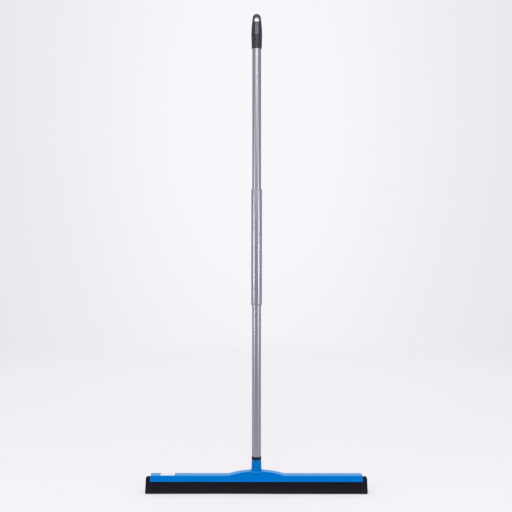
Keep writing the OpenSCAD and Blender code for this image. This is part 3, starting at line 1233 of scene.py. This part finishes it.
@dataclass
class Grip:
    """Black moulded cap with an arched hanging eye between two ramps."""

    low_z: float = 1104.2
    top_z: float = 1191.7
    mouth_r: float = 12.7
    belly_r: float = 13.75
    belly_z: float = 1136.2
    top_r: float = 10.3
    top_depth: float = 16.0
    bore_r: float = 11.0
    bore_top_z: float = 1138.6
    eye_w: float = 11.0
    lip_z: float = 1172.7
    lip_t: float = 3.0
    lip_overlap: float = 0.2  # how far the two ramps' cuts run into each other
    eye_top_z: float = 1183.7
    reach: Place = (30.0, 40.0, 50.0)  # of cutting solids: aside, on the ramps, in the eye
    past: float = 1.0  # how far they stand past the grip's ends
    voxel: float = 0.5
    soften: tuple[float, int] = (0.5, 8)  # strength and rounds of the smoothing

    def profile(self) -> list[Point]:
        """Draws the half section of the grip's round form.

        Returns:
            Radius and height of its points, in millimetres.
        """
        crown = self.top_z - self.top_r
        fall, climb = self.belly_r - self.top_r, crown - self.belly_z
        bow = (climb ** 2 + fall ** 2) / (2 * fall)
        skirt = [(self.mouth_r + (self.belly_r - self.mouth_r) * k / 12,
                  self.low_z + (self.belly_z - self.low_z) * k / 12) for k in range(12)]
        side = []
        for k in range(25):
            z = self.belly_z + climb * k / 24
            side.append((self.belly_r - bow + math.sqrt(bow ** 2 - (z - self.belly_z) ** 2), z))
        return [(0, self.low_z), *skirt, *side, *arc(0, crown, self.top_r, range(6, 91, 6))]

    def build_sides(self) -> Piece:
        """Builds the space between the flats that thin the grip towards its top.

        Returns:
            The solid that the grip stays within.
        """
        half, wide, reach = self.top_depth / 2, self.belly_r + self.past, self.reach[0]
        low, high = self.low_z - self.past, self.top_z + self.past
        return drawn_out("sides", [
            (-wide, low), (wide, low), (wide, self.belly_z),
            (half, high), (-half, high), (-wide, self.belly_z),
        ], Plane.YZ, [-reach, reach])

    def build_ramp(self, way: int) -> Piece:
        """Builds the space over one ramp, which ends in the arch of the eye.

        Args:
            way: -1 for the front, 1 for the back.

        Returns:
            The solid to cut away.
        """
        reach, far, deep = self.reach
        far, over = way * far, -way * self.lip_overlap
        ramp = drawn_out("ramp", [
            (way * self.belly_r, self.belly_z), (far, self.belly_z), (far, self.top_z),
            (over, self.top_z), (over, self.lip_z), (way * self.lip_t / 2, self.lip_z),
        ], Plane.YZ, [-reach, reach])
        half = self.eye_w / 2
        arch = arc(0, self.eye_top_z - half, half, range(0, 181, 6))
        combine(ramp, drawn_out("eye", [(-half, self.belly_z), (half, self.belly_z), *arch],
                                Plane.XZ, [-deep, deep]), Join.KEEP_SHARED)
        return ramp

    def build(self, black: Finish) -> None:
        """Builds the grip and sets it up.

        Args:
            black: Finish of the grip.
        """
        piece = turned("hanging_grip", self.profile())
        combine(piece, self.build_sides(), Join.KEEP_SHARED)
        for way in (-1, 1):
            combine(piece, self.build_ramp(way), Join.CUT)
        low, high, r = self.low_z - self.past, self.bore_top_z, self.bore_r
        combine(piece, turned("bore", [(0, low), (r, low), (r, high), (0, high)]), Join.CUT)
        changed(piece, "REMESH", mode="VOXEL", voxel_size=self.voxel * MM, use_smooth_shade=True)
        changed(piece, "SMOOTH", factor=self.soften[0], iterations=self.soften[1])
        set_up(piece, 60, Body.UPPER, "hanger_grip", black)


# The studio


@dataclass(frozen=True)
class SoftBox:
    """One soft light of the studio, in metres and watts."""

    name: str
    place: Place
    aim: Place
    size: Point
    watts: float

    def build(self) -> None:
        """Builds the light, turned to its aim and hidden from the camera."""
        data = bpy.data.lights.new(self.name, "AREA")
        data.shape, data.energy = "RECTANGLE", self.watts
        data.size, data.size_y = self.size
        lamp = bpy.data.objects.new(self.name, data)
        lamp.location = self.place
        way = Vector(self.aim) - Vector(self.place)
        lamp.rotation_euler = way.to_track_quat("-Z", "Y").to_euler()
        lamp.visible_camera = False
        bpy.context.scene.collection.objects.link(lamp)


@dataclass
class Studio:
    """Pale floor, soft lights and the camera at the photograph's place."""

    camera_place: Place = (-0.0015, -2.2, 0.5876)
    camera_roll: float = -0.04
    lens: float = 62.0
    floor_r: float = 4.2
    floor_middle: Place = (0.0, 1.2, 0.0)
    floor_fade: Point = (1.35, 2.7)  # distances where the floor starts to fade and is gone
    floor_colour: str = "#8f8e91"
    glow_colour: str = "#fdfaff"
    floor_glow: float = 0.53
    room_colour: str = "#ffffff"
    room_turn: Point = (-0.2, 0.6)  # directions between which the room turns bright
    room_light: Point = (0.55, 0.9)  # its strength towards the front and the back
    back_colour: str = "#f2f1f6"
    back_flat: Place = (1.0, 0.0, 0.55)  # makes its glow an upright oval
    back_middle: Place = (0.0, 0.0, 0.083)
    back_reach: float = 0.36
    back_light: Point = (1.06, 0.91)  # strength in the middle and outside the oval
    boxes: tuple[SoftBox, ...] = (
        SoftBox("left_box", (-1.75, -0.97, 0.6), (0, 0, 0.6), (0.65, 0.82), 10.7),
        SoftBox("right_box", (1.49, -1.33, 0.6), (0, 0, 0.6), (0.65, 0.82), 10.7),
        SoftBox("front_top", (0, -2.3, 1.8), (0, 0, 0.9), (2.8, 0.8), 24.0),
        SoftBox("overhead", (0, -0.6, 3.2), (0, 0, 0), (3.4, 3.0), 23.0),
        SoftBox("grip_top", (0.15, -1.6, 3.2), (0, 0, 1.15), (1.2, 0.5), 18.0),
        SoftBox("backdrop_top", (0, 2.7, 3.0), (0, 2.7, 0), (4.0, 2.4), 60.0),
    )

    def build_floor(self) -> None:
        """Builds the round floor, which fades into the backdrop."""
        bpy.ops.object.select_all(action="DESELECT")
        bpy.ops.mesh.primitive_circle_add(vertices=96, radius=self.floor_r, fill_type="NGON")
        floor = bpy.context.object
        floor.name = "studio_floor"
        finish, tree = new_finish("matt_studio_floor")
        where = add_node(tree, "TexCoord").outputs["Object"]
        far = add_node(tree, "VectorMath", {0: where, 1: self.floor_middle},
                       operation="DISTANCE").outputs["Value"]
        fade = add_node(tree, "MapRange", {
            "Value": far, "From Min": self.floor_fade[0], "From Max": self.floor_fade[1],
            "To Min": 0.0, "To Max": 1.0}, interpolation_type="SMOOTHSTEP")
        below = add_node(tree, "NewGeometry").outputs["Backfacing"]
        paper = add_node(tree, "BsdfPrincipled", {
            "Base Color": linear(self.floor_colour), "Roughness": 1.0, "Specular IOR Level": 0.0,
            "Emission Color": linear(self.glow_colour), "Emission Strength": self.floor_glow})
        clear = add_node(tree, "BsdfTransparent")
        gone = add_node(tree, "Math", {
            0: fade.outputs["Result"], 1: below}, operation="MAXIMUM")
        mixed = add_node(tree, "MixShader", {
            0: gone.outputs["Value"], 1: paper.outputs[0], 2: clear.outputs[0]})
        add_node(tree, "OutputMaterial", {"Surface": mixed.outputs[0]})
        floor.data.materials.append(finish)

    def build_world(self) -> None:
        """Builds the dim room, bright towards the back, and the pale backdrop of the view."""
        world = bpy.data.worlds.new("studio_room")
        world.use_nodes = True
        tree = world.node_tree
        tree.nodes.clear()
        where = add_node(tree, "TexCoord").outputs["Generated"]
        way = add_node(tree, "SeparateXYZ", {0: where})
        level = add_node(tree, "MapRange", {
            "Value": way.outputs["Y"], "From Min": self.room_turn[0],
            "From Max": self.room_turn[1], "To Min": self.room_light[0],
            "To Max": self.room_light[1]}, interpolation_type="SMOOTHSTEP")
        room = add_node(tree, "Background", {
            "Color": linear(self.room_colour), "Strength": level.outputs["Result"]})
        flat = add_node(tree, "VectorMath", {0: where, 1: self.back_flat},
                        operation="MULTIPLY").outputs["Vector"]
        aside = add_node(tree, "VectorMath", {0: flat, 1: self.back_middle},
                         operation="DISTANCE").outputs["Value"]
        glow = add_node(tree, "MapRange", {
            "Value": aside, "From Min": 0.0, "From Max": self.back_reach,
            "To Min": self.back_light[0], "To Max": self.back_light[1]},
            interpolation_type="SMOOTHSTEP")
        backdrop = add_node(tree, "Background", {
            "Color": linear(self.back_colour), "Strength": glow.outputs["Result"]})
        seen = add_node(tree, "LightPath").outputs["Is Camera Ray"]
        mixed = add_node(tree, "MixShader", {0: seen, 1: room.outputs[0], 2: backdrop.outputs[0]})
        add_node(tree, "OutputWorld", {"Surface": mixed.outputs[0]})
        bpy.context.scene.world = world

    def build_camera(self) -> None:
        """Builds the level camera in front of the part."""
        data = bpy.data.cameras.new("photo_camera")
        data.lens, data.sensor_width, data.clip_start, data.clip_end = self.lens, 36.0, 0.05, 60.0
        camera = bpy.data.objects.new("photo_camera", data)
        camera.location = self.camera_place
        camera.rotation_euler = (math.radians(90), math.radians(self.camera_roll), 0)
        bpy.context.scene.collection.objects.link(camera)
        bpy.context.scene.camera = camera

    def build(self) -> None:
        """Builds the whole studio."""
        bpy.context.scene.view_settings.view_transform = "Standard"
        self.build_camera()
        self.build_floor()
        self.build_world()
        for box in self.boxes:
            box.build()


def main() -> None:
    """Builds the studio and every piece, in order."""
    logging.basicConfig(level=logging.INFO, format="%(name)s %(message)s")
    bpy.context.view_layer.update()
    Studio().build()
    # the last colour given to each moulded plastic is its painted highlight for faces that look up
    blue = MouldedPlastic("blue_moulded_polypropylene", "#0068b6", "#0063ad", 0.3, 0.1,
                          "#0068b6", "#2a7dbb")
    black = MouldedPlastic("black_moulded_polypropylene", "#1f1b26", "#25202c", 0.32, 0.5,
                           "#eee9ff", "#2b2633")
    foam = CellularRubber("black_cellular_rubber", "#0e0b12", "#221c27")
    silver = SilverLacquer("silver_flake_lacquer", "#9495a0", "#9798a3", 0.32)
    film = StickerFilm("white_sticker_film", "#c4c5ca", "#bbbcc2")
    carrier = ExtrudedPlastic("grey_extruded_plastic", "#37393e", "#43464c", 0.5, (0.01, 1.0, 1.0))
    liner = ExtrudedPlastic("natural_polyethylene", "#dcdcd6", "#d0d0c9", 0.45, (1.0, 1.0, 0.01))
    rivet = RivetAluminium("pressed_aluminium", "#c3c5c9", "#a7a9ae")
    matt = MouldedPlastic("matt_black_nylon", "#131217", "#18161b", 0.5, 0.25, "#eee9ff", "#1d1a21")
    Head().build(blue.make(), film.make())
    BladePack().build(foam.make(), carrier.make(), rivet.make())
    Handle().build(silver.make(), matt.make(), liner.make())
    Grip().build(black.make())


if __name__ == "__main__":
    main()
